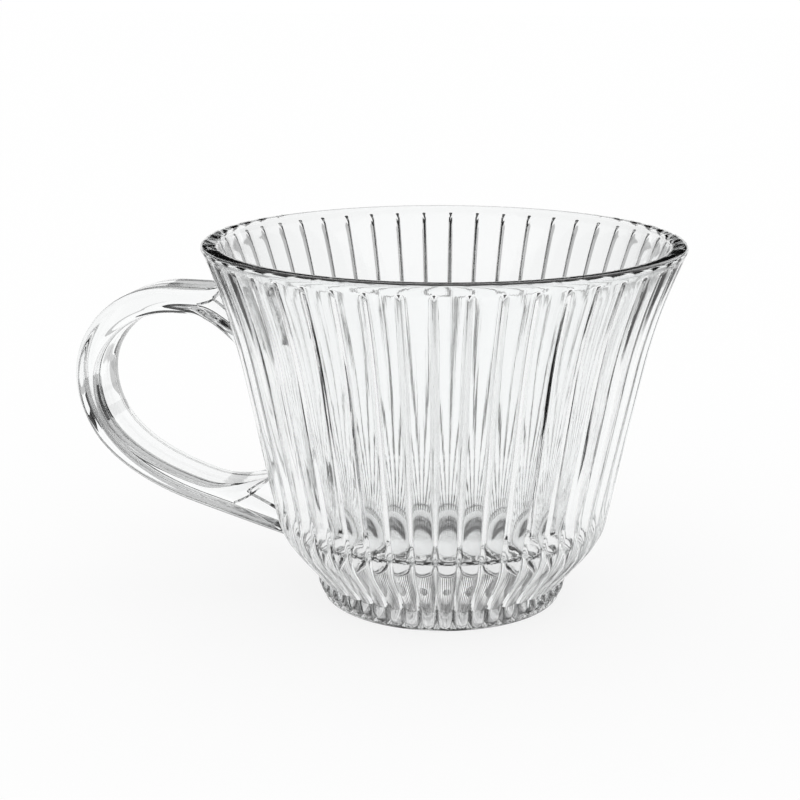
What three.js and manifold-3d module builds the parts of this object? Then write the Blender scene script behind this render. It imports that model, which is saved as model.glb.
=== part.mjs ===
// A clear pressed-glass cup: a fluted bowl, its foot and a looped handle.
// Millimetres, +Z up. The cup's axis is Z, the foot stands on Z = 0 and the handle points along -X.
import * as THREE from 'three';
import { mergeVertices } from 'three/addons/utils/BufferGeometryUtils.js';
import Module from 'manifold-3d';

const wasm = await Module();
wasm.setup();

// Outside of the cup
const cupHeight = 68.8;
const rimRadius = 45;
const flareStart = 46.6;
const wallAngle = THREE.MathUtils.degToRad(11.7);
const shoulderHeight = 12.7;
const shoulderRadius = 31.2;
const shoulderRound = 3;
const footHeight = 4;
const footTopRadius = 24;
const footBaseRadius = 22.6;
const footSwell = 0.5;
const footRing = 0.5;
const footRingRound = 0.3;
const scallopEnd = 1.2;

// Inside of the cup
const baseThickness = 8.2;
const wallThickness = 3.2;
const lipThickness = 3.4;
const lipRound = 0.8;
const floorRound = 10;
const floorDish = 0.5;

// Flutes: broad rounded panels with a narrow groove between each two
const fluteCount = 48;
const fluteDepth = 1.25;
const rimBand = 1.7;
const fluteFade = 1.9;
const panelShoulder = 0.7;

// Handle, along the middle line of its bar
const handleDrop = 13.4;
const handleStandOff = 34.5;
const upperBendRun = 18.4;
const upperBendDrop = 16.4;
const lowerBendRun = 23.4;
const lowerBendRise = 4.2;
const lowerArmAngle = THREE.MathUtils.degToRad(15.6);
const barThickness = 5.3;
const barWidth = 10.8;
const barRound = 1.6;
const weldGap = 0.3;

// Roots of the handle: the bar thickens over a run in front of the wall
const upperInnerRoot = { run: 8.5, growth: 5, power: 1.5 };
const upperOuterRoot = { run: 4.5, growth: 1.6, power: 2 };
const lowerInnerRoot = { run: 17, growth: 10, power: 2 };
const rootDepth = 5;

// Fineness of the facets
const cavitySegments = 96;
const bendSteps = 12;
const armSteps = 5;
const roundSteps = 3;
const floorSteps = 6;

const glass = { color: 0xeef1f1, roughness: 0.04, metalness: 0, transparent: true, opacity: 0.35 };

// Straight wall above the shoulder, with a curve that opens it to the widest point of the lip
const lipHeight = cupHeight - lipRound;
const flareGain = rimRadius - shoulderRadius - (lipHeight - shoulderHeight) * Math.tan(wallAngle);
function wallRadius(z) {
  const flare = Math.max(0, z - flareStart) / (lipHeight - flareStart);
  return shoulderRadius + (z - shoulderHeight) * Math.tan(wallAngle) + flareGain * flare * flare;
}

// Radius over the crests of the flutes at any height
function crestRadius(z) {
  const slope = (shoulderRadius - footTopRadius) / (shoulderHeight - footHeight);
  const lower = footTopRadius + (z - footHeight) * slope;
  const blend = THREE.MathUtils.clamp((z - shoulderHeight) / shoulderRound, -1, 1);
  const bend = (slope - Math.tan(wallAngle)) * shoulderRound / 4;
  const soften = bend * (1 - Math.abs(blend)) ** 2;
  return Math.min(lower, wallRadius(z)) - soften;
}

// Share of the grooves' depth at a height: nothing on the rim band, and full a little below it
function grooveShare(z) {
  return THREE.MathUtils.clamp((cupHeight - rimBand - z) / fluteFade, 0, 1);
}

// One ring of the fluted outside, with a panel's middle facing the handle.
// Each panel is an arc, and the share cuts it off where the rim band runs over it.
function flutedRing(z, radius, share) {
  const ring = [];
  const pitch = 2 * Math.PI / fluteCount;
  const edge = 2 * Math.atan(fluteDepth / (radius * Math.sin(pitch / 2)));
  const shoulderFall = (1 - Math.sqrt(1 - (panelShoulder * Math.sin(edge)) ** 2)) / (1 - Math.cos(edge));
  const marks = [[0, 0], [panelShoulder / 2, shoulderFall], [0.5, 1], [1 - panelShoulder / 2, shoulderFall]];
  for (let flute = 0; flute < fluteCount; flute += 1) {
    for (const [along, fall] of marks) {
      const angle = Math.PI + (flute + along) * pitch;
      const r = radius - fluteDepth * Math.min(fall, share);
      ring.push(new THREE.Vector3(r * Math.cos(angle), r * Math.sin(angle), z));
    }
  }
  return ring;
}

// A closed skin through rings that run counter-clockwise about their path, capped at both ends
function loft(rings) {
  const points = rings.flat();
  const count = rings[0].length;
  const index = [];
  const middle = (ring) => ring.reduce((sum, p) => sum.add(p), new THREE.Vector3()).divideScalar(count);
  for (let i = 0; i + 1 < rings.length; i += 1) {
    for (let j = 0; j < count; j += 1) {
      const a = i * count + j;
      const b = i * count + (j + 1) % count;
      index.push(a, b, b + count, a, b + count, a + count);
    }
  }
  const first = points.push(middle(rings[0])) - 1;
  const last = points.push(middle(rings.at(-1))) - 1;
  const lastRing = (rings.length - 1) * count;
  for (let j = 0; j < count; j += 1) {
    const next = (j + 1) % count;
    index.push(first, next, j, last, lastRing + j, lastRing + next);
  }
  const geometry = new THREE.BufferGeometry().setFromPoints(points);
  geometry.setIndex(index);
  return geometry;
}

function toSolid(geometry) {
  const bare = geometry.clone();
  bare.deleteAttribute('normal');
  bare.deleteAttribute('uv');
  const merged = mergeVertices(bare, 1e-5);
  const triangles = [];
  for (let i = 0; i < merged.index.count; i += 3) {
    const [a, b, c] = merged.index.array.slice(i, i + 3);
    if (a !== b && b !== c && c !== a) triangles.push(a, b, c);
  }
  return new wasm.Manifold(new wasm.Mesh({
    numProp: 3,
    vertProperties: Float32Array.from(merged.attributes.position.array),
    triVerts: Uint32Array.from(triangles),
  }));
}

function toGeometry(solid) {
  const mesh = solid.getMesh();
  const geometry = new THREE.BufferGeometry();
  geometry.setAttribute('position', new THREE.BufferAttribute(mesh.vertProperties, 3));
  geometry.setIndex(new THREE.BufferAttribute(mesh.triVerts, 1));
  geometry.computeVertexNormals();
  return geometry;
}

function piece(name, geometry) {
  const mesh = new THREE.Mesh(geometry, new THREE.MeshStandardMaterial(glass));
  mesh.name = name;
  return mesh;
}

// The outside of the bowl as a filled solid, from the foot to the rim
function bowlOutside(grow) {
  const fluteTop = cupHeight - rimBand;
  const wallLevels = [
    footHeight,
    shoulderHeight - shoulderRound,
    shoulderHeight - shoulderRound / 3,
    shoulderHeight + shoulderRound / 3,
    shoulderHeight + shoulderRound,
    flareStart,
    (flareStart + fluteTop) / 2,
    fluteTop - fluteFade,
    fluteTop - fluteFade / 2,
    fluteTop,
    lipHeight,
  ];
  const rings = wallLevels.map((z) => flutedRing(z, crestRadius(z) + grow, grooveShare(z)));
  for (let step = 1; step <= roundSteps; step += 1) {
    const turn = step / roundSteps * Math.PI / 2;
    const z = lipHeight + lipRound * Math.sin(turn);
    rings.push(flutedRing(z, rimRadius + grow - lipRound * (1 - Math.cos(turn)), 0));
  }
  return toSolid(loft(rings));
}

// The space inside: a slightly dished floor, a round corner, a smooth wall and a rounded lip
function bowlCavity() {
  const floorHeight = footHeight + baseThickness;
  const thickness = (z) => {
    const up = (z - floorHeight) / (lipHeight - floorHeight);
    return THREE.MathUtils.lerp(wallThickness, lipThickness, up);
  };
  const inside = (z) => wallRadius(z) - thickness(z);
  const wallTurn = Math.PI / 2 - wallAngle;
  let floorEdge = shoulderRadius;
  let tilt = 0;
  const corner = (turn) => new THREE.Vector2(
    floorEdge + floorRound * (Math.sin(turn) - Math.sin(tilt)),
    floorHeight + floorDish + floorRound * (Math.cos(tilt) - Math.cos(turn)),
  );
  // The floor's edge is moved until the corner runs into the wall
  for (let pass = 0; pass < 60; pass += 1) {
    tilt = Math.atan(2 * floorDish / floorEdge);
    const top = corner(wallTurn);
    floorEdge += (inside(top.y) - top.x) / 2;
  }
  const profile = [];
  for (const share of [0, 0.6]) {
    profile.push(new THREE.Vector2(floorEdge * share, floorHeight + floorDish * share ** 2));
  }
  for (let step = 0; step <= floorSteps; step += 1) {
    profile.push(corner(THREE.MathUtils.lerp(tilt, wallTurn, step / floorSteps)));
  }
  for (const z of [flareStart, (flareStart + lipHeight) / 2]) {
    profile.push(new THREE.Vector2(inside(z), z));
  }
  for (let step = 0; step <= roundSteps; step += 1) {
    const turn = step / roundSteps * Math.PI / 2;
    const z = lipHeight + lipRound * Math.sin(turn);
    profile.push(new THREE.Vector2(inside(lipHeight) + lipRound * (1 - Math.cos(turn)), z));
  }
  const open = profile.at(-1);
  profile.push(new THREE.Vector2(open.x, cupHeight + lipThickness));
  profile.push(new THREE.Vector2(0, cupHeight + lipThickness));
  const lathe = new THREE.LatheGeometry(profile, cavitySegments);
  return toSolid(lathe.rotateX(Math.PI / 2));
}

function makeBowl() {
  return piece('bowl', toGeometry(bowlOutside(0).subtract(bowlCavity())));
}

// A thick disc with a swelling, scalloped side over a plain ring, and a flat underside to stand on
function makeFoot() {
  const crest = (z) => {
    const up = z / footHeight;
    return THREE.MathUtils.lerp(footBaseRadius, footTopRadius, up) + 4 * footSwell * up * (1 - up);
  };
  const rings = [
    flutedRing(0, crest(footRing) - footRingRound, 0),
    flutedRing(footRingRound, crest(footRing), 0),
  ];
  const scallopFull = footRing + scallopEnd;
  for (const z of [footRing, footRing + scallopEnd / 2, scallopFull, (scallopFull + footHeight) / 2, footHeight]) {
    const share = THREE.MathUtils.clamp((z - footRing) / scallopEnd, 0, 1);
    rings.push(flutedRing(z, crest(z), share));
  }
  return piece('foot', loft(rings));
}

// The middle line of the handle in its own plane: x is the distance from the cup's axis, y the height
function handlePath() {
  const armHeight = cupHeight - handleDrop;
  const reachHeight = armHeight - upperBendDrop;
  const reach = wallRadius(reachHeight) + handleStandOff;
  const ellipse = 0.5523;
  const upperStart = new THREE.Vector2(reach - upperBendRun, armHeight);
  const outermost = new THREE.Vector2(reach, reachHeight);
  const lowerEnd = new THREE.Vector2(reach - lowerBendRun, shoulderHeight + lowerBendRise);
  const lowerRun = lowerBendRun * ellipse;
  const lowerFall = (reachHeight - lowerEnd.y) * ellipse;
  const armSlope = new THREE.Vector2(Math.cos(lowerArmAngle), Math.sin(lowerArmAngle));
  const upperRoot = new THREE.Vector2(wallRadius(armHeight) - rootDepth, armHeight);
  const lowerArm = lowerEnd.x - shoulderRadius + rootDepth;
  const lowerRoot = lowerEnd.clone().addScaledVector(armSlope, -lowerArm / armSlope.x);
  const upperBend = new THREE.CubicBezierCurve(
    upperStart,
    new THREE.Vector2(upperStart.x + upperBendRun * ellipse, armHeight),
    new THREE.Vector2(reach, reachHeight + upperBendDrop * ellipse),
    outermost,
  );
  const lowerBend = new THREE.CubicBezierCurve(
    outermost,
    new THREE.Vector2(reach, reachHeight - lowerFall),
    lowerEnd.clone().addScaledVector(armSlope, lowerRun),
    lowerEnd,
  );
  return [
    { curve: new THREE.LineCurve(upperRoot, upperStart), steps: armSteps },
    { curve: upperBend, steps: bendSteps },
    { curve: lowerBend, steps: bendSteps },
    { curve: new THREE.LineCurve(lowerEnd, lowerRoot), steps: armSteps + 2 },
  ];
}

// How much a root adds to one side of the bar, at a distance from the wall
function rootGrowth(root, fromWall) {
  return root.growth * (Math.max(0, root.run - fromWall) / root.run) ** root.power;
}

// One rounded-rectangle ring of the bar, square to the path
function barRing(point, tangent, outer, inner) {
  const outward = new THREE.Vector2(-tangent.y, tangent.x);
  const side = barWidth / 2 - barRound;
  const corners = [
    [outer - barRound, side, 0],
    [-inner + barRound, side, 1],
    [-inner + barRound, -side, 2],
    [outer - barRound, -side, 3],
  ];
  const ring = [];
  for (const [across, along, quarter] of corners) {
    for (let step = 0; step <= roundSteps; step += 1) {
      const turn = (quarter + step / roundSteps) * Math.PI / 2;
      const reach = across + barRound * Math.cos(turn);
      const u = point.x + outward.x * reach;
      const z = point.y + outward.y * reach;
      ring.push(new THREE.Vector3(-u, along + barRound * Math.sin(turn), z));
    }
  }
  return ring;
}

function makeHandle() {
  const rings = [];
  const upperWall = wallRadius(cupHeight - handleDrop);
  handlePath().forEach(({ curve, steps }, part) => {
    for (let step = part === 0 ? 0 : 1; step <= steps; step += 1) {
      const t = step / steps;
      const point = curve.getPoint(t);
      const tangent = curve.getTangent(t);
      const upper = part < 2;
      const fromWall = point.x - (upper ? upperWall : shoulderRadius);
      const innerRoot = upper ? upperInnerRoot : lowerInnerRoot;
      const inner = barThickness / 2 + rootGrowth(innerRoot, fromWall);
      const outer = barThickness / 2 + (upper ? rootGrowth(upperOuterRoot, fromWall) : 0);
      rings.push(barRing(point, tangent, outer, inner));
    }
  });
  return piece('handle', toGeometry(toSolid(loft(rings)).subtract(bowlOutside(weldGap))));
}

const cup = new THREE.Group();
cup.name = 'fluted_cup';
cup.add(makeBowl());
cup.add(makeFoot());
cup.add(makeHandle());

export default cup;
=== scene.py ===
"""A clear pressed-glass tea cup with flutes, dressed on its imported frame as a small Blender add-on."""

import math
from collections import Counter

import bpy
import numpy as np
from bpy.props import FloatProperty, IntProperty, PointerProperty, StringProperty
from mathutils import Matrix, Vector
from mathutils.bvhtree import BVHTree


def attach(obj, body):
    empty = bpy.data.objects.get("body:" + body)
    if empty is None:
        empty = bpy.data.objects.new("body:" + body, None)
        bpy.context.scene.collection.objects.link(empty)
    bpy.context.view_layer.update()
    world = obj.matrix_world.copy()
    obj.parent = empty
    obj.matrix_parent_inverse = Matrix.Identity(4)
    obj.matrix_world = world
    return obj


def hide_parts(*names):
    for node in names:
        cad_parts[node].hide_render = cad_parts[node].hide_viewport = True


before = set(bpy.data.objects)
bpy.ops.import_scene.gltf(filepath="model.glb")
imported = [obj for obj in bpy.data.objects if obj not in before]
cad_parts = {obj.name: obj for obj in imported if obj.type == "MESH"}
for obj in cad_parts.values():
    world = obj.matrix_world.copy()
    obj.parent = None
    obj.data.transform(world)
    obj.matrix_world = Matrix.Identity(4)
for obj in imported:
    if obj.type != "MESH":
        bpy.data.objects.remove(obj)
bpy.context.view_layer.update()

bl_info = {
    "name": "Fluted Glass Cup",
    "version": (1, 0, 0),
    "blender": (4, 5, 0),
    "location": "View3D > Sidebar > Cup",
    "description": "Models the fluted bowl, the foot and the handle of a clear glass cup, and its studio",
    "category": "Add Mesh",
}

MM = 0.001
WHITE = (1, 1, 1, 1)

# Fineness of the meshes: points or steps along each run, and lengths of a step
PANEL_POINTS = 23
SHOULDER_STEPS = 4
FLUTE_END_STEPS = 9
CORNER_POINTS = 13
DISH_POINTS = 5
LIP_POINTS = 15
SIDE_POINTS = 7
RING_POINTS = 6
HOLLOW_POINTS = 17
PATH_POINTS = 200
THROUGH_POINTS = 25
ACROSS_POINTS = 11
ROOT_STEPS = (8, 4, 20)
CONE_STEP = 1.2 * MM
WALL_STEP = 4 * MM
FLARE_STEP = 1.6 * MM
BAND_STEP = 0.5 * MM
BEND_STEP = 0.8 * MM

# Rings of points on the plane where bowl and foot meet, as shares of its radius
SEAT_SHARES = (0, 0.5)

# Places of the glass, the fused joint and the chilled skin in a piece's list of materials
GLASS_SLOT = 0
JOINT_SLOT = 1
CHILLED_SLOT = 2

# Degrees between two faces above which their edge stays sharp
FLUTE_EDGE = 50
HANDLE_EDGE = 24

# Tolerances, and how many rounds a search takes
MERGE = 1e-7
SEAT_TOLERANCE = 0.01 * MM
SKIN_TOLERANCE = 0.2 * MM
ROW_GAP = 0.02 * MM
LEVEL_NORMAL = 0.99
FLOOR_ROUNDS = 60
MEETING_ROUNDS = 40

# The ray that tells inside from outside: its direction, along no row of the mesh, and its step past a hit
RAY = (-0.83, 0.21, 0.37)
RAY_STEP = 0.001 * MM

# The handle's middle line: how far it goes on into the wall, and the reach that rounds a quarter turn
PATH_SINK = 6 * MM
QUARTER_REACH = 0.5523

# Noise in the mould's lines, the floor, the camera and the paths of light
LINE_DETAIL = 4.0
FLOOR_SIZE = 6
FLOOR_DROP = 0.1 * MM
SENSOR_WIDTH = 36
NEAREST_SEEN = 0.01
LIGHT_BOUNCES = 32


# Sizes and colours that a user would change

def length(name, description, millimetres):
    """A length property with its default in millimetres."""
    return FloatProperty(name=name, description=description, default=millimetres * MM, unit="LENGTH")


def angle(name, description, degrees):
    """An angle property with its default in degrees."""
    return FloatProperty(
        name=name,
        description=description,
        default=math.radians(degrees),
        unit="ROTATION",
        precision=4,
    )


def number(name, description, value):
    """A plain number."""
    return FloatProperty(name=name, description=description, default=value, precision=4)


def count(name, description, value):
    """A whole number."""
    return IntProperty(name=name, description=description, default=value)


def hex_value(name, description, value):
    """A colour written as sRGB hex."""
    return StringProperty(name=name, description=description + ", sRGB hex", default=value)


class BowlSizes(bpy.types.PropertyGroup):
    """Outside and inside of the bowl."""
    height: length("Cup height", "Table to the top of the lip", 68.8)
    rim_radius: length("Rim radius", "Widest radius of the lip", 45)
    flare_start: length("Flare start", "Height where the wall starts to open", 46.6)
    wall_angle: angle("Wall angle", "Lean of the straight wall from upright", 11.7)
    shoulder_height: length("Shoulder height", "Height of the turn under the wall", 12.7)
    shoulder_radius: length("Shoulder radius", "Radius at the turn", 31.2)
    shoulder_round: length("Shoulder rounding", "Half the height over which the turn is rounded", 3)
    base_thickness: length("Base thickness", "Glass under the middle of the inner floor", 8.2)
    wall_thickness: length("Wall thickness", "Glass under a flute's crest, near the floor", 3.2)
    lip_thickness: length("Lip thickness", "Glass at the lip", 3.4)
    lip_round: length("Lip rounding", "Height of the fire-polished lip's rounding", 0.8)
    lip_power: number("Lip squareness", "2 is a round lip, more is a flatter one", 3.0)
    floor_round: length("Floor rounding", "Radius between the inner floor and the wall", 10)
    floor_dish: length("Floor dish", "How far the middle of the inner floor is below its edge", 0.5)
    flutes: count("Flutes", "Flutes around the bowl", 48)
    low_arch: length("Arch at the shoulder", "Fall of a panel's arc, from the shoulder down", 1.35)
    high_arch: length("Arch at the top", "Fall of a panel's arc, under the rim band", 0.2)
    arch_power: number("Arch run-out", "1 loses the arc evenly up the wall, more loses it sooner", 3.0)
    groove_depth: length("Groove depth", "Depth of the narrow groove between two panels' edges", 0.6)
    groove_width: length("Groove width", "Half the width of the narrow groove", 0.5)
    groove_power: number("Groove sharpness", "1 is a plain V, more is a groove with hollow sides", 1.3)
    rim_band: length("Rim band", "Plain band between the flutes and the lip's top", 1.7)
    flute_end: length("Flute end", "Height over which a groove runs out under the band", 1.9)
    band_blend: number("Band blend", "Share of the depth over which band and panel melt together", 0.3)


class FootSizes(bpy.types.PropertyGroup):
    """The thick disc under the bowl."""
    height: length("Foot height", "Table to the bottom of the bowl", 4)
    top_radius: length("Top radius", "Radius where the bowl sits", 24)
    base_radius: length("Base radius", "Radius just above the table", 22.6)
    swell: length("Swell", "How far the side swells between its top and its base", 0.5)
    ring: length("Base ring", "Height of the plain ring that stands on the table", 0.5)
    ring_round: length("Ring rounding", "Rounding of the plain ring's lower edge", 0.3)
    scallop_end: length("Scallop end", "Height over which the scallops run out above the ring", 1.2)
    hollow_radius: length("Hollow radius", "Radius of the shallow hollow in the underside", 16.5)
    hollow_depth: length("Hollow depth", "Depth of the hollow in its middle", 1.8)


class HandleSizes(bpy.types.PropertyGroup):
    """The looped bar, along its middle line."""
    drop: length("Drop", "Top of the lip to the upper arm's middle line", 13.4)
    stand_off: length("Stand-off", "Bowl's wall to the outermost point of the middle line", 34.5)
    upper_run: length("Upper bend run", "Length of the upper bend along the arm", 18.4)
    upper_fall: length("Upper bend fall", "Height of the upper bend", 16.4)
    lower_run: length("Lower bend run", "Length of the lower bend along the arm", 23.4)
    lower_rise: length("Lower arm height", "Shoulder to the end of the lower bend", 4.2)
    lower_angle: angle("Lower arm angle", "Slope of the lower arm", 15.6)
    thickness: length("Thickness", "Bar, in the plane of the loop", 5.3)
    width: length("Width", "Bar, across the loop", 10.8)
    corner: length("Corner radius", "Rounding of the bar's long edges", 1.6)
    upper_inner_run: length("Upper web run", "Length of the fillet under the upper arm", 8.5)
    upper_inner_growth: length("Upper web", "Height of the fillet under the upper arm at the wall", 5)
    upper_outer_run: length("Upper crown run", "Length of the swelling over the upper arm", 4.5)
    upper_outer_growth: length("Upper crown", "Height of that swelling at the wall", 1.6)
    lower_inner_run: length("Lower web run", "Length of the fillet over the lower arm", 17)
    lower_inner_growth: length("Lower web", "Height of the fillet over the lower arm at the wall", 10)
    upper_inner_power: number("Upper web curve", "1 is a straight fillet, more is a hollow one", 1.5)
    upper_outer_power: number("Upper crown curve", "1 is a straight swelling, more is a hollow one", 2)
    lower_inner_power: number("Lower web curve", "1 is a straight fillet, more is a hollow one", 2)
    upper_wedge: length("Upper wedge", "Length of the flat-sided wedge at the upper root", 7.0)
    lower_wedge: length("Lower wedge", "Length of the flat-sided wedge at the lower root", 9.0)
    wedge_flare: length("Wedge step", "How far a wedge's flat side stands out from the bar", 1.3)
    wedge_ramp: length("Wedge ramp", "Length of the slope around a wedge's flat side", 0.7)
    weld_sink: length("Weld depth", "How far the tool that marks the weld goes into the bowl", 1.2)
    wedge_corner: length("Wedge corner", "Rounding of the wedges' edges", 0.6)


class GlassLook(bpy.types.PropertyGroup):
    """Finish of the glass."""
    tint: hex_value("Tint", "Colour of the glass", "#FEFFFF")
    ior: number("IOR", "Index of refraction of soda-lime glass", 1.52)
    roughness: number("Roughness", "Fire-polished skin", 0.0)
    inside_roughness: number("Inside roughness", "Skin chilled by the plunger, left as pressed", 0.06)
    line_width: length("Line width", "Spacing of the mould's faint lines", 1.2)
    line_radius: length("Line radius", "Radius at which the lines have that spacing", 38)
    line_length: length("Line length", "Length of the lines along the cup's height", 40)
    line_height: length("Line height", "Height of the faint lines", 0.015)


class StudioLook(bpy.types.PropertyGroup):
    """Camera, floor and light."""
    camera_distance: length("Camera distance", "Cup's axis to the lens, level", 314.15)
    camera_height: length("Camera height", "Lens above the table", 120.79)
    camera_turn: angle("Camera turn", "Camera's place around the cup from the front", 13.2)
    camera_aim: angle("Camera aim", "How far the lens points to the left of the axis", 1.479)
    camera_tilt: angle("Camera tilt", "How far the lens points down", 14.796)
    lens: number("Lens", "Focal length for a 36 mm sensor", 76.68)
    floor_glow: number("Floor glow", "Share of the floor's white that stays in the shadow", 0.85)
    floor_glow_in_glass: number("Floor glow in glass", "The same where the glass shows the floor", 0.8)
    card_dark: hex_value("Dark cards", "Colour of the cards at the sides and high at the back", "#202020")
    card_grey: hex_value("Grey cards", "Colour of the cards in front and on the table", "#A8A8A8")
    card_pale: hex_value("Pale cards", "Colour of the card overhead and of the table's edges", "#C4C4C4")
    floor_colour: hex_value("Floor", "Colour of the floor", "#FCFCFC")


# Cards that draw the edges of the glass, seen only in it: name, colour, size and place in metres, tip
CARDS = (
    ("ceiling", "card_pale", (1.4, 1.4), (0, -0.10, 0.45), (0, 0)),
    ("front", "card_grey", (1.4, 0.45), (0, -0.80, 0.225), (90, 0)),
    ("left", "card_dark", (1.55, 0.45), (-0.70, -0.025, 0.225), (90, 90)),
    ("right", "card_dark", (1.55, 0.45), (0.70, -0.025, 0.225), (90, 90)),
    ("back_top", "card_dark", (2.8, 0.20), (0, 1.20, 0.32), (90, 0)),
    ("left_top", "card_dark", (1.1, 0.85), (-0.80, 1.20, 0.845), (90, 0)),
    ("front_table", "card_grey", (1.4, 0.67), (0, -0.465, 0.001), (0, 0)),
    ("left_table", "card_grey", (0.5, 0.4), (-0.45, 0.06, 0.001), (0, 0)),
    ("right_table", "card_grey", (0.5, 0.4), (0.45, 0.06, 0.001), (0, 0)),
    ("left_table_edge", "card_pale", (0.57, 0.6), (-0.415, 0.16, 0.0005), (0, 0)),
    ("right_table_edge", "card_pale", (0.57, 0.6), (0.415, 0.16, 0.0005), (0, 0)),
)


# Shape of the cup in formulas, all in metres

def wall_radius(z):
    """Radius of the wall above the shoulder, over the flutes' crests."""
    b = bpy.context.scene.cup_bowl
    lip = b.height - b.lip_round
    straight = b.shoulder_radius + (z - b.shoulder_height) * math.tan(b.wall_angle)
    gain = b.rim_radius - b.shoulder_radius - (lip - b.shoulder_height) * math.tan(b.wall_angle)
    opening = np.clip((z - b.flare_start) / (lip - b.flare_start), 0, None)
    return straight + gain * opening ** 2


def crest_radius(z):
    """Radius of the outside over the flutes' crests, from the foot over the shoulder to the lip."""
    b = bpy.context.scene.cup_bowl
    f = bpy.context.scene.cup_foot
    slope = (b.shoulder_radius - f.top_radius) / (b.shoulder_height - f.height)
    cone = f.top_radius + (z - f.height) * slope
    nearness = 1 - np.clip(np.abs(z - b.shoulder_height) / b.shoulder_round, 0, 1)
    soften = (slope - math.tan(b.wall_angle)) * b.shoulder_round / 4 * nearness ** 2
    return np.minimum(cone, wall_radius(z)) - soften


def band_limit(z):
    """Share of the depth left by the turned band, which cuts the panels' tops into arches."""
    b = bpy.context.scene.cup_bowl
    return np.clip((b.height - b.rim_band - z) / b.flute_end, 0, 1)


def arch_depth(z):
    """How far a panel's arc falls to its edges at a height."""
    b = bpy.context.scene.cup_bowl
    up = np.clip((z - b.shoulder_height) / (b.height - b.rim_band - b.shoulder_height), 0, 1)
    return b.high_arch + (b.low_arch - b.high_arch) * (1 - up) ** b.arch_power


def panel_fall(across, crest, z):
    """How far the skin lies below the crest across a panel, from -1 to 1: an arc and a narrow groove."""
    b = bpy.context.scene.cup_bowl
    half_panel = crest * math.sin(math.pi / b.flutes)
    arch = arch_depth(z)
    slope = 2 * np.arctan(arch / half_panel)
    arc = arch * (1 - np.sqrt(1 - (across * np.sin(slope)) ** 2)) / (1 - np.cos(slope))
    aside = np.clip((1 - np.abs(across)) * half_panel / b.groove_width, 0, 1)
    return arc + b.groove_depth * (1 - aside) ** b.groove_power


def soft_least(first, second, blend):
    """The lesser of two, with a rounded corner where they cross."""
    share = np.clip(0.5 + (second - first) / (2 * blend), 0, 1)
    return second + (first - second) * share - blend * share * (1 - share)


def panel_steps():
    """Places across a panel, closer together towards its grooves."""
    return np.sin(np.linspace(-1, 1, PANEL_POINTS) * math.pi / 2)


def skin_radius(turn, crest, z, limit):
    """Radius of a fluted outside at a turn about the axis, from its crests and its depth's limit."""
    b = bpy.context.scene.cup_bowl
    pitch = 2 * math.pi / b.flutes
    place = (turn - math.pi) / pitch
    across = 2 * (place - np.round(place))
    deepest = arch_depth(z) + b.groove_depth
    fall = panel_fall(across, crest, z) / deepest
    fall = soft_least(fall, limit * (1 + b.band_blend), b.band_blend)
    return crest - deepest * np.maximum(fall, 0)


# Modelling helpers

def deselect_all():
    """Leaves object mode with nothing selected."""
    if bpy.context.object and bpy.context.object.mode != "OBJECT":
        bpy.ops.object.mode_set(mode="OBJECT")
    bpy.ops.object.select_all(action="DESELECT")


def placed_grid(name, points):
    """Adds a grid of rows and columns and moves each of its points to its place."""
    rows, columns = points.shape[:2]
    deselect_all()
    bpy.ops.mesh.primitive_grid_add(x_subdivisions=columns - 1, y_subdivisions=rows - 1, size=2)
    piece = bpy.context.object
    piece.name = name
    piece.data.name = name
    flat = np.empty(len(piece.data.vertices) * 3)
    piece.data.vertices.foreach_get("co", flat)
    flat = flat.reshape(-1, 3)
    column = np.rint((flat[:, 0] + 1) / 2 * (columns - 1)).astype(int)
    row = np.rint((flat[:, 1] + 1) / 2 * (rows - 1)).astype(int)
    piece.data.vertices.foreach_set("co", points[row, column].ravel())
    piece.data.update()
    return piece


def close_up():
    """In edit mode, joins seams and poles and turns every face outwards."""
    bpy.ops.mesh.select_all(action="SELECT")
    bpy.ops.mesh.remove_doubles(threshold=MERGE)
    bpy.ops.mesh.normals_make_consistent(inside=False)


def fluted_turning(name, rows):
    """A closed turning, modelled as one flute's strip and copied around the axis.
    Each row is a share, the radius over the crests, a height and the limit of the flutes' depth.
    A row with no crest is plain, and its share is its radius."""
    flutes = bpy.context.scene.cup_bowl.flutes
    share, crest, height, limit = [column[:, None] for column in np.array(rows).T]
    turn = math.pi + panel_steps()[None, :] * math.pi / flutes
    plain = crest == 0
    skin = skin_radius(turn, np.where(plain, 1.0, crest), height, limit)
    r = share * np.where(plain, 1.0, skin)
    z = np.broadcast_to(height, r.shape)
    points = np.stack([r * np.cos(turn), r * np.sin(turn), z], axis=2)
    piece = placed_grid(name, points)
    bpy.ops.object.mode_set(mode="EDIT")
    bpy.ops.mesh.select_all(action="SELECT")
    bpy.ops.mesh.spin(
        steps=flutes - 1,
        dupli=True,
        angle=2 * math.pi * (flutes - 1) / flutes,
        center=(0, 0, 0),
        axis=(0, 0, 1),
    )
    close_up()
    bpy.ops.object.mode_set(mode="OBJECT")
    bpy.ops.object.shade_smooth_by_angle(angle=math.radians(FLUTE_EDGE))
    return piece


def spread(start, end, step):
    """Even levels from start to end, about a step apart."""
    return np.linspace(start, end, max(2, int(round(abs(end - start) / step)) + 1))


def join_runs(*parts):
    """Joins runs of levels, leaving out each run's first where it repeats the last."""
    joined = list(parts[0])
    for part in parts[1:]:
        joined.extend(part[1:])
    return np.array(joined)


def adopt(piece, node):
    """Sets a finished piece in the frame: it rides on the cup and stands for its node."""
    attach(piece, "root")
    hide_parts(node)


# Materials

def linear(hex_colour):
    """sRGB hex to linear RGBA."""
    values = [int(hex_colour[i:i + 2], 16) / 255 for i in (1, 3, 5)]
    return [v / 12.92 if v <= 0.04045 else ((v + 0.055) / 1.055) ** 2.4 for v in values] + [1.0]


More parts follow.
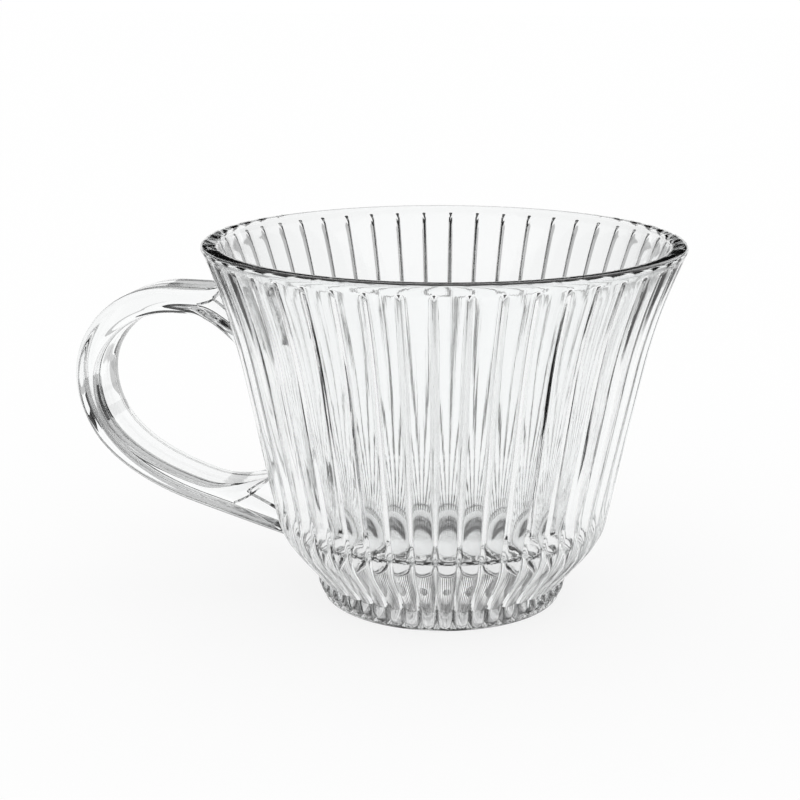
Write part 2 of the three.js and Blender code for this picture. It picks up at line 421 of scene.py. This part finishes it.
def add_node(tree, kind, inputs=None, **settings):
    """Adds a node with its settings, and sets or links its inputs."""
    node = tree.nodes.new(kind)
    for key, value in settings.items():
        setattr(node, key, value)
    for key, value in (inputs or {}).items():
        if isinstance(value, bpy.types.NodeSocket):
            tree.links.new(value, node.inputs[key])
        else:
            node.inputs[key].default_value = value
    return node


def new_material(name):
    """An empty node material."""
    material = bpy.data.materials.new(name)
    material.use_nodes = True
    material.node_tree.nodes.clear()
    return material


def pressed_glass():
    """Soda-lime glass, pressed in a mould and fire-polished: clear, with sharp dark and light edges."""
    return glass_skin("soda_lime_glass_fire_polished", bpy.context.scene.cup_glass.roughness)


def chilled_glass():
    """The same glass chilled by the plunger: the far flutes are seen through it a little blurred."""
    return glass_skin("soda_lime_glass_plunger_chilled", bpy.context.scene.cup_glass.inside_roughness)


def glass_skin(name, roughness):
    """Clear glass, smooth or slightly dull, with faint lines along the flutes left by the mould.
    The lines are drawn coarser than real ones, so that a picture of the whole cup shows them."""
    if name in bpy.data.materials:
        return bpy.data.materials[name]
    look = bpy.context.scene.cup_glass
    material = new_material(name)
    tree = material.node_tree
    place = add_node(tree, "ShaderNodeTexCoord")
    level = add_node(tree, "ShaderNodeVectorMath", {
        0: place.outputs["Object"],
        1: (1, 1, 0),
    }, operation="MULTIPLY")
    facing = add_node(tree, "ShaderNodeVectorMath", {0: level.outputs[0]}, operation="NORMALIZE")
    around = add_node(tree, "ShaderNodeVectorMath", {
        0: facing.outputs[0],
        "Scale": look.line_radius / look.line_width,
    }, operation="SCALE")
    drawn = add_node(tree, "ShaderNodeVectorMath", {
        0: place.outputs["Object"],
        1: (0, 0, 1 / look.line_length),
        2: around.outputs[0],
    }, operation="MULTIPLY_ADD")
    lines = add_node(tree, "ShaderNodeTexNoise", {
        "Vector": drawn.outputs[0],
        "Scale": 1.0,
        "Detail": LINE_DETAIL,
    })
    relief = add_node(tree, "ShaderNodeBump", {
        "Strength": 1.0,
        "Distance": look.line_height,
        "Height": lines.outputs[0],
    })
    glass = add_node(tree, "ShaderNodeBsdfPrincipled", {
        "Normal": relief.outputs[0],
        "Base Color": linear(look.tint),
        "Roughness": roughness,
        "IOR": look.ior,
        "Transmission Weight": 1.0,
    })
    add_node(tree, "ShaderNodeOutputMaterial", {"Surface": glass.outputs[0]})
    return material


def fused_joint():
    """Glass fused to glass: light crosses it unbent, so the joint can't be seen."""
    name = "soda_lime_glass_fused_joint"
    if name in bpy.data.materials:
        return bpy.data.materials[name]
    material = new_material(name)
    tree = material.node_tree
    clear = add_node(tree, "ShaderNodeBsdfTransparent")
    add_node(tree, "ShaderNodeOutputMaterial", {"Surface": clear.outputs[0]})
    return material


def dress(piece):
    """Gives a piece its glass, with the fused joint as second material."""
    piece.data.materials.clear()
    piece.data.materials.append(pressed_glass())
    piece.data.materials.append(fused_joint())


def mark_joint(piece, is_joint):
    """Puts the faces whose centre and normal pass a test on the fused joint."""
    for face in piece.data.polygons:
        face.material_index = JOINT_SLOT if is_joint(face.center, face.normal) else GLASS_SLOT


def mark_inside(piece, low, high):
    """Puts the faces between two heights that face the axis or straight up on the chilled skin."""
    piece.data.materials.append(chilled_glass())
    for face in piece.data.polygons:
        outward = face.normal.x * face.center.x + face.normal.y * face.center.y
        if low < face.center.z < high and (outward <= 0 or face.normal.z > LEVEL_NORMAL):
            face.material_index = CHILLED_SLOT


# The three pieces

def outside_levels():
    """Heights of the bowl's rows, closer together where its outside turns."""
    b = bpy.context.scene.cup_bowl
    f = bpy.context.scene.cup_foot
    flute_top = b.height - b.rim_band
    shoulder_low = b.shoulder_height - b.shoulder_round
    shoulder_high = b.shoulder_height + b.shoulder_round
    return join_runs(
        spread(f.height, shoulder_low, CONE_STEP),
        spread(shoulder_low, shoulder_high, b.shoulder_round / SHOULDER_STEPS),
        spread(shoulder_high, b.flare_start, WALL_STEP),
        spread(b.flare_start, flute_top - b.flute_end, FLARE_STEP),
        spread(flute_top - b.flute_end, flute_top, b.flute_end / FLUTE_END_STEPS),
        spread(flute_top, b.height - b.lip_round, BAND_STEP),
    )


def inside_profile():
    """Radius and height of the inside, from the lip down to the middle of the dished floor."""
    b = bpy.context.scene.cup_bowl
    f = bpy.context.scene.cup_foot
    floor = f.height + b.base_thickness
    lip = b.height - b.lip_round

    def inside(z):
        up = (z - floor) / (lip - floor)
        return wall_radius(z) - (b.wall_thickness + (b.lip_thickness - b.wall_thickness) * up)

    edge = b.shoulder_radius
    for _ in range(FLOOR_ROUNDS):
        tilt = math.atan(2 * b.floor_dish / edge)
        turn = np.linspace(math.pi / 2 - b.wall_angle, tilt, CORNER_POINTS)
        corner_r = edge + b.floor_round * (np.sin(turn) - math.sin(tilt))
        corner_z = floor + b.floor_dish + b.floor_round * (math.cos(tilt) - np.cos(turn))
        edge += (inside(corner_z[0]) - corner_r[0]) / 2
    wall = spread(lip, corner_z[0], WALL_STEP)[:-1]
    dish = np.linspace(edge, 0, DISH_POINTS)[1:]
    radius = np.concatenate([inside(wall), corner_r, dish])
    height = np.concatenate([wall, corner_z, floor + b.floor_dish * (dish / edge) ** 2])
    return radius, height


class CUP_OT_bowl(bpy.types.Operator):
    """Model the fluted bowl with its smooth inside and rounded lip"""
    bl_idname = "cup.bowl"
    bl_label = "Bowl"

    def execute(self, context):
        b = context.scene.cup_bowl
        f = context.scene.cup_foot
        lip = b.height - b.lip_round
        outside = outside_levels()
        inner_r, inner_z = inside_profile()
        turn = np.linspace(0, math.pi, LIP_POINTS)[1:-1]
        middle = (b.rim_radius + inner_r[0]) / 2
        reach = (b.rim_radius - inner_r[0]) / 2
        lip_r = middle + reach * np.sign(np.cos(turn)) * np.abs(np.cos(turn)) ** (2 / b.lip_power)
        lip_z = lip + b.lip_round * np.sin(turn) ** (2 / b.lip_power)
        rows = [(share, f.top_radius, f.height, 1) for share in SEAT_SHARES]
        rows += [(1, crest_radius(z), z, band_limit(z)) for z in outside]
        rows += [(r, 0, z, 0) for r, z in zip(lip_r, lip_z)]
        rows += [(r, 0, z, 0) for r, z in zip(inner_r, inner_z)]
        piece = fluted_turning("bowl_glass_body", rows)
        dress(piece)
        seat = f.height + SEAT_TOLERANCE
        mark_joint(piece, lambda centre, normal: centre.z < seat and normal.z < -LEVEL_NORMAL)
        mark_inside(piece, seat, lip)
        weld_to_bowl(piece)
        adopt(piece, "bowl")
        return {"FINISHED"}


class CUP_OT_foot(bpy.types.Operator):
    """Model the thick foot with its scalloped side"""
    bl_idname = "cup.foot"
    bl_label = "Foot"

    def execute(self, context):
        f = context.scene.cup_foot
        side = np.linspace(f.height, f.ring + f.scallop_end, SIDE_POINTS)
        run_out = np.linspace(f.ring + f.scallop_end, f.ring, SIDE_POINTS)
        levels = np.concatenate([side, run_out[1:]])
        up = levels / f.height
        crest = f.base_radius + (f.top_radius - f.base_radius) * up + 4 * f.swell * up * (1 - up)
        limit = np.clip((levels - f.ring) / f.scallop_end, 0, 1)
        turn = np.linspace(0, math.pi / 2, RING_POINTS)
        ring_r = crest[-1] - f.ring_round * (1 - np.cos(turn))
        ring_z = f.ring_round * (1 - np.sin(turn))
        rows = [(share, f.top_radius, f.height, 1) for share in SEAT_SHARES]
        rows += [(1, r, z, most) for r, z, most in zip(crest, levels, limit)]
        rows += [(r, 0, z, 0) for r, z in zip(ring_r, ring_z)]
        hollow = np.linspace(1, 0, HOLLOW_POINTS)
        rows += [(f.hollow_radius * share, 0, f.hollow_depth * (1 - share ** 2), 0) for share in hollow]
        piece = fluted_turning("foot_glass_disc", rows)
        dress(piece)
        seat = f.height - SEAT_TOLERANCE
        mark_joint(piece, lambda centre, normal: centre.z > seat and normal.z > LEVEL_NORMAL)
        adopt(piece, "foot")
        return {"FINISHED"}


def handle_path():
    """Middle line of the bar in its plane, the length along it, and where its two straight arms end."""
    b = bpy.context.scene.cup_bowl
    h = bpy.context.scene.cup_handle
    arm = b.height - h.drop
    level = arm - h.upper_fall
    reach = wall_radius(level) + h.stand_off
    start = Vector((reach - h.upper_run, arm))
    far = Vector((reach, level))
    end = Vector((reach - h.lower_run, b.shoulder_height + h.lower_rise))
    slope = Vector((math.cos(h.lower_angle), math.sin(h.lower_angle)))
    upper_root = Vector((wall_radius(arm) - PATH_SINK, arm))
    lower_root = end - slope * ((end.x - b.shoulder_radius + PATH_SINK) / slope.x)
    upper = [
        start,
        start + Vector((h.upper_run * QUARTER_REACH, 0)),
        far + Vector((0, h.upper_fall * QUARTER_REACH)),
        far,
    ]
    lower = [
        far,
        far - Vector((0, (level - end.y) * QUARTER_REACH)),
        end + slope * h.lower_run * QUARTER_REACH,
        end,
    ]
    t = np.linspace(0, 1, PATH_POINTS)[:, None]

    def bezier(p):
        p = np.array(p)
        curve = (1 - t) ** 3 * p[0] + 3 * t * (1 - t) ** 2 * p[1]
        curve = curve + 3 * t * t * (1 - t) * p[2]
        return curve + t ** 3 * p[3]

    def line(p, q):
        return (1 - t) * np.array(p) + t * np.array(q)

    runs = [line(upper_root, start), bezier(upper), bezier(lower), line(end, lower_root)]
    path = np.concatenate([runs[0]] + [run[1:] for run in runs[1:]])
    along = np.concatenate([[0], np.cumsum(np.hypot(*np.diff(path, axis=0).T))])
    arms = (np.hypot(*(start - upper_root)), along[-1] - np.hypot(*(end - lower_root)))
    return path, along, arms


def root_growth(run, growth, power, from_wall):
    """How much a root adds to one side of the bar at a distance from the wall."""
    return growth * (np.clip(run - from_wall, 0, None) / run) ** power


def bar_section():
    """The bar's section as a loop: place through its thickness and place across its width."""
    through = np.cos(np.linspace(0, math.pi, THROUGH_POINTS))
    across = np.cos(np.linspace(0, math.pi, ACROSS_POINTS))[1:-1]
    loop = [(place, 1) for place in through]
    loop += [(-1, place) for place in across]
    loop += [(place, -1) for place in through[::-1]]
    loop += [(1, -place) for place in across]
    loop.append(loop[0])
    return np.array(loop)


def rounded_half(place, half, width, corner):
    """Half width of a rounded rectangle at a place through its thickness."""
    over = np.clip((np.abs(place) * half - half + corner) / corner, 0, 1)
    return width - corner * (1 - np.sqrt(1 - over ** 2))


def bar_points(distance, section):
    """Points of the bar at distances along its middle line, one for each entry of its section."""
    b = bpy.context.scene.cup_bowl
    h = bpy.context.scene.cup_handle
    path, along, arms = handle_path()
    u = np.interp(distance, along, path[:, 0])
    z = np.interp(distance, along, path[:, 1])
    gradient = np.gradient(path, along, axis=0)
    tangent_u = np.interp(distance, along, gradient[:, 0])
    tangent_z = np.interp(distance, along, gradient[:, 1])
    size = np.hypot(tangent_u, tangent_z)
    out_u = -tangent_z / size
    out_z = tangent_u / size
    upper = distance < (arms[0] + arms[1]) / 2
    upper_gap = u - wall_radius(b.height - h.drop)
    lower_gap = u - b.shoulder_radius
    inner_root = np.where(
        upper,
        root_growth(h.upper_inner_run, h.upper_inner_growth, h.upper_inner_power, upper_gap),
        root_growth(h.lower_inner_run, h.lower_inner_growth, h.lower_inner_power, lower_gap),
    )
    crown = root_growth(h.upper_outer_run, h.upper_outer_growth, h.upper_outer_power, upper_gap)
    outer_root = np.where(upper, crown, 0)
    outer = h.thickness / 2 + outer_root
    inner = h.thickness / 2 + inner_root
    through, across = section.T
    reach = (outer - inner) / 2 + through * (outer + inner) / 2
    x = u + out_u * reach
    height = z + out_z * reach
    half = (outer + inner) / 2
    bar = rounded_half(through, half, h.width / 2, h.corner)
    run = np.where(upper, h.upper_wedge, h.lower_wedge)
    tip = run * (1 - np.abs(through)) - (x - crest_radius(height))
    standing = h.width / 2 + h.wedge_flare * np.clip(tip / h.wedge_ramp, -1, 1)
    wedge = rounded_half(through, half, standing, h.wedge_corner)
    y = across * np.maximum(bar, wedge)
    return np.stack([-x, y, height], axis=-1)


def depth_outside(points):
    """How far points lie outside the bowl's fluted skin."""
    x, y, z = np.moveaxis(points, -1, 0)
    turn = np.arctan2(y, x) % (2 * math.pi)
    return np.hypot(x, y) - skin_radius(turn, crest_radius(z), z, band_limit(z))


def past_wedge(points, section, run):
    """How far points of the bar lie past the edge of a root's wedge."""
    return -points[:, 0] - crest_radius(points[:, 2]) - run * (1 - np.abs(section[:, 0]))


def meeting(section, start, end, is_past):
    """For each line along the bar, where its points first pass a test, between two distances."""
    inside = np.full(len(section), start)
    outside = np.full(len(section), end)
    for _ in range(MEETING_ROUNDS):
        middle = (inside + outside) / 2
        out = is_past(bar_points(middle, section))
        outside = np.where(out, middle, outside)
        inside = np.where(out, inside, middle)
    return outside


def root_rows(section, start, end, run, sink):
    """Distances along one root, wall first, with rows along both edges of its wedge."""
    ramp = bpy.context.scene.cup_handle.wedge_ramp
    stops = [
        meeting(section, start, end, lambda points: depth_outside(points) > -sink),
        meeting(section, start, end, lambda points: past_wedge(points, section, run) > -ramp),
        meeting(section, start, end, lambda points: past_wedge(points, section, run) > ramp),
        np.full(len(section), end),
    ]
    gap = ROW_GAP * np.sign(end - start)
    for k in (1, 2):
        stops[k] = stops[k - 1] + gap * np.maximum((stops[k] - stops[k - 1]) / gap, 1)
    rows = [stops[0][None, :]]
    for first, last, steps in zip(stops, stops[1:], ROOT_STEPS):
        share = np.linspace(0, 1, steps + 1)[1:, None]
        rows.append(first[None, :] + (last - first)[None, :] * share)
    return np.concatenate(rows)


def handle_shape(name, sink):
    """The bar from wall to wall. Its ends follow the bowl's skin, sunk into it by a depth."""
    section = bar_section()
    _, along, arms = handle_path()
    h = bpy.context.scene.cup_handle
    upper_end = arms[0] + h.upper_wedge
    lower_start = arms[1] - h.lower_wedge
    upper = root_rows(section, 0.0, upper_end, h.upper_wedge, sink)[:-1]
    lower = root_rows(section, along[-1], lower_start, h.lower_wedge, sink)[-2::-1]
    bend = spread(upper_end, lower_start, BEND_STEP)
    middle = np.repeat(bend[:, None], len(section), axis=1)
    distance = np.concatenate([upper, middle, lower])
    points = np.stack([bar_points(row, section) for row in distance])
    piece = placed_grid(name, points)
    dress(piece)
    bpy.ops.object.mode_set(mode="EDIT")
    close_up()
    bpy.ops.object.mode_set(mode="OBJECT")
    piece.active_material_index = JOINT_SLOT
    divide = (points[0, :, 2].min() + points[-1, :, 2].max()) / 2
    for above in (True, False):
        select_open_edges(piece, lambda place: (place.z > divide) == above)
        bpy.ops.object.mode_set(mode="EDIT")
        bpy.ops.mesh.fill()
        bpy.ops.mesh.select_mode(type="FACE")
        bpy.ops.object.material_slot_assign()
        bpy.ops.object.mode_set(mode="OBJECT")
    bpy.ops.object.mode_set(mode="EDIT")
    close_up()
    bpy.ops.object.mode_set(mode="OBJECT")
    bpy.ops.object.shade_smooth_by_angle(angle=math.radians(HANDLE_EDGE))
    return piece


def select_open_edges(piece, wanted):
    """Selects the open edges of a mesh whose ends pass a test, and nothing else."""
    bpy.ops.object.mode_set(mode="EDIT")
    bpy.ops.mesh.select_mode(type="EDGE")
    bpy.ops.mesh.select_all(action="DESELECT")
    bpy.ops.mesh.select_non_manifold()
    bpy.ops.object.mode_set(mode="OBJECT")
    places = piece.data.vertices
    for edge in piece.data.edges:
        edge.select = edge.select and all(wanted(places[i].co) for i in edge.vertices)


def drop_doubled_faces(piece):
    """Splits faces of many corners and deletes pairs that lie back to back on the same corners."""
    bpy.ops.object.mode_set(mode="EDIT")
    bpy.ops.mesh.select_mode(type="FACE")
    bpy.ops.mesh.select_all(action="DESELECT")
    bpy.ops.mesh.select_face_by_sides(number=4, type="GREATER")
    bpy.ops.mesh.quads_convert_to_tris()
    bpy.ops.mesh.select_all(action="DESELECT")
    bpy.ops.object.mode_set(mode="OBJECT")
    corners = [frozenset(face.vertices) for face in piece.data.polygons]
    times = Counter(corners)
    piece.data.polygons.foreach_set("select", [times[place] > 1 for place in corners])
    bpy.ops.object.mode_set(mode="EDIT")
    bpy.ops.mesh.delete(type="FACE")
    bpy.ops.object.mode_set(mode="OBJECT")


def is_within(hull, place):
    """Whether a place is inside a closed hull: a ray from it crosses the hull an odd number of times."""
    direction = Vector(RAY).normalized()
    start = place.copy()
    crossings = 0
    while True:
        spot = hull.ray_cast(start, direction)[0]
        if spot is None:
            return crossings % 2 == 1
        crossings += 1
        start = spot + direction * RAY_STEP


def weld_to_bowl(bowl):
    """Cuts the outline of the handle's roots into the bowl's skin and fuses what is inside it."""
    tool = handle_shape("handle_weld_tool", bpy.context.scene.cup_handle.weld_sink)
    places = [v.co.copy() for v in tool.data.vertices]
    hull = BVHTree.FromPolygons(places, [list(f.vertices) for f in tool.data.polygons])
    tool.data.materials.clear()
    marker = new_material("weld_tool")
    tool.data.materials.append(marker)
    tool.data.polygons.foreach_set("material_index", [0] * len(tool.data.polygons))
    bowl.data.polygons.foreach_set("select", [False] * len(bowl.data.polygons))
    tool.data.polygons.foreach_set("select", [True] * len(tool.data.polygons))
    deselect_all()
    tool.select_set(True)
    bowl.select_set(True)
    bpy.context.view_layer.objects.active = bowl
    bpy.ops.object.join()
    bpy.ops.object.mode_set(mode="EDIT")
    bpy.ops.mesh.select_mode(type="FACE")
    bpy.ops.mesh.select_all(action="DESELECT")
    bowl.active_material_index = len(bowl.data.materials) - 1
    bpy.ops.object.material_slot_select()
    bpy.ops.mesh.intersect(mode="SELECT_UNSELECT", separate_mode="CUT", solver="EXACT")
    bpy.ops.mesh.select_all(action="DESELECT")
    bpy.ops.object.material_slot_select()
    bpy.ops.mesh.delete(type="FACE")
    close_up()
    bpy.ops.object.mode_set(mode="OBJECT")
    drop_doubled_faces(bowl)
    bowl.data.materials.pop(index=len(bowl.data.materials) - 1)
    bpy.data.materials.remove(marker)
    foot_edge = -bpy.context.scene.cup_foot.top_radius
    width = bpy.context.scene.cup_handle.width
    marked = 0
    for face in bowl.data.polygons:
        if face.center.x < foot_edge and abs(face.center.y) < width:
            on_skin = abs(depth_outside(np.array([face.center]))[0]) < SKIN_TOLERANCE
            if on_skin and is_within(hull, face.center):
                face.material_index = JOINT_SLOT
                marked += 1
    if marked == 0:
        raise RuntimeError("The handle's roots don't reach the bowl's skin")


class CUP_OT_handle(bpy.types.Operator):
    """Model the looped handle, ending on the bowl's skin"""
    bl_idname = "cup.handle"
    bl_label = "Handle"

    def execute(self, context):
        piece = handle_shape("handle_glass_loop", 0.0)
        adopt(piece, "handle")
        return {"FINISHED"}


# The studio

def lay_floor():
    """White card under the cup. It glows a little, so that the cup's shadow on it stays faint."""
    s = bpy.context.scene.cup_studio
    bpy.ops.mesh.primitive_plane_add(size=FLOOR_SIZE, location=(0, 0, 0))
    floor = bpy.context.object
    floor.name = "studio_floor"
    floor.data.transform(Matrix.Translation((0, 0, -FLOOR_DROP)))
    material = new_material("white_card_matt")
    tree = material.node_tree
    card = add_node(tree, "ShaderNodeBsdfDiffuse", {"Color": linear(s.floor_colour)})
    path = add_node(tree, "ShaderNodeLightPath")
    white = add_node(tree, "ShaderNodeEmission", {"Color": WHITE, "Strength": 1.0})
    glass = add_node(tree, "ShaderNodeMath", {
        0: path.outputs["Is Glossy Ray"],
        1: path.outputs["Is Transmission Ray"],
    }, operation="MAXIMUM")
    in_glass = add_node(tree, "ShaderNodeMath", {
        0: glass.outputs[0],
        1: s.floor_glow_in_glass,
    }, operation="MULTIPLY")
    seen = add_node(tree, "ShaderNodeMath", {
        0: path.outputs["Is Camera Ray"],
        1: s.floor_glow,
        2: in_glass.outputs[0],
    }, operation="MULTIPLY_ADD")
    lit = add_node(tree, "ShaderNodeMixShader", {
        0: seen.outputs[0],
        1: card.outputs[0],
        2: white.outputs[0],
    })
    add_node(tree, "ShaderNodeOutputMaterial", {"Surface": lit.outputs[0]})
    floor.data.materials.append(material)


def light_world():
    """The same white light from all sides."""
    scene = bpy.context.scene
    world = scene.world or bpy.data.worlds.new("studio")
    scene.world = world
    world.use_nodes = True
    tree = world.node_tree
    tree.nodes.clear()
    sky = add_node(tree, "ShaderNodeBackground", {"Color": WHITE, "Strength": 1.0})
    add_node(tree, "ShaderNodeOutputWorld", {"Surface": sky.outputs[0]})


def hang_cards():
    """Cards around the cup, matt and seen only in the glass."""
    s = bpy.context.scene.cup_studio
    felts = {}
    for colour in ("card_dark", "card_grey", "card_pale"):
        felts[colour] = new_material(colour + "_matt")
        tree = felts[colour].node_tree
        felt = add_node(tree, "ShaderNodeBsdfDiffuse", {"Color": linear(getattr(s, colour))})
        add_node(tree, "ShaderNodeOutputMaterial", {"Surface": felt.outputs[0]})
    for name, colour, size, spot, tip in CARDS:
        bpy.ops.mesh.primitive_plane_add(size=1)
        card = bpy.context.object
        card.name = "studio_card_" + name
        card.data.transform(Matrix.Diagonal((size[0], size[1], 1, 1)))
        card.data.transform(Matrix.Rotation(math.radians(tip[0]), 4, "X"))
        card.data.transform(Matrix.Rotation(math.radians(tip[1]), 4, "Z"))
        card.data.transform(Matrix.Translation(spot))
        card.data.transform(Matrix.Rotation(s.camera_turn, 4, "Z"))
        card.data.materials.append(felts[colour])
        card.visible_camera = False
        card.visible_diffuse = False
        card.visible_shadow = False


def place_camera():
    """The camera at the photo's angle."""
    s = bpy.context.scene.cup_studio
    bpy.ops.object.camera_add()
    camera = bpy.context.object
    camera.name = "studio_camera"
    camera.data.lens = s.lens
    camera.data.sensor_width = SENSOR_WIDTH
    camera.data.clip_start = NEAREST_SEEN
    turn = s.camera_turn
    camera.location = (
        s.camera_distance * math.sin(turn),
        -s.camera_distance * math.cos(turn),
        s.camera_height,
    )
    camera.rotation_euler = (math.pi / 2 - s.camera_tilt, 0, turn + s.camera_aim)
    bpy.context.scene.camera = camera


class CUP_OT_studio(bpy.types.Operator):
    """Set the floor, the light and the camera"""
    bl_idname = "cup.studio"
    bl_label = "Studio"

    def execute(self, context):
        deselect_all()
        lay_floor()
        light_world()
        hang_cards()
        place_camera()
        context.scene.view_settings.view_transform = "Standard"
        context.scene.cycles.caustics_reflective = False
        context.scene.cycles.caustics_refractive = False
        context.scene.cycles.max_bounces = LIGHT_BOUNCES
        context.scene.cycles.transmission_bounces = LIGHT_BOUNCES
        context.scene.cycles.transparent_max_bounces = LIGHT_BOUNCES
        return {"FINISHED"}


# The add-on

class CUP_PT_sidebar(bpy.types.Panel):
    """Buttons for the pieces of the cup"""
    bl_idname = "CUP_PT_sidebar"
    bl_label = "Fluted glass cup"
    bl_space_type = "VIEW_3D"
    bl_region_type = "UI"
    bl_category = "Cup"

    def draw(self, context):
        for operator in OPERATORS:
            self.layout.operator(operator.bl_idname)
        for name in GROUPS:
            box = self.layout.box()
            group = getattr(context.scene, name)
            for field in group.__annotations__:
                box.prop(group, field)


GROUPS = {
    "cup_bowl": BowlSizes,
    "cup_foot": FootSizes,
    "cup_handle": HandleSizes,
    "cup_glass": GlassLook,
    "cup_studio": StudioLook,
}
OPERATORS = [CUP_OT_studio, CUP_OT_bowl, CUP_OT_foot, CUP_OT_handle]


def register():
    """Registers the groups, the operators and the panel."""
    for name, group in GROUPS.items():
        bpy.utils.register_class(group)
        setattr(bpy.types.Scene, name, PointerProperty(type=group))
    for operator in OPERATORS:
        bpy.utils.register_class(operator)
    bpy.utils.register_class(CUP_PT_sidebar)


def unregister():
    """Takes them out again."""
    bpy.utils.unregister_class(CUP_PT_sidebar)
    for operator in reversed(OPERATORS):
        bpy.utils.unregister_class(operator)
    for name, group in reversed(GROUPS.items()):
        delattr(bpy.types.Scene, name)
        bpy.utils.unregister_class(group)


def main():
    """Builds the studio and the cup."""
    register()
    bpy.ops.cup.studio()
    bpy.ops.cup.bowl()
    bpy.ops.cup.foot()
    bpy.ops.cup.handle()


if __name__ == "__main__":
    main()
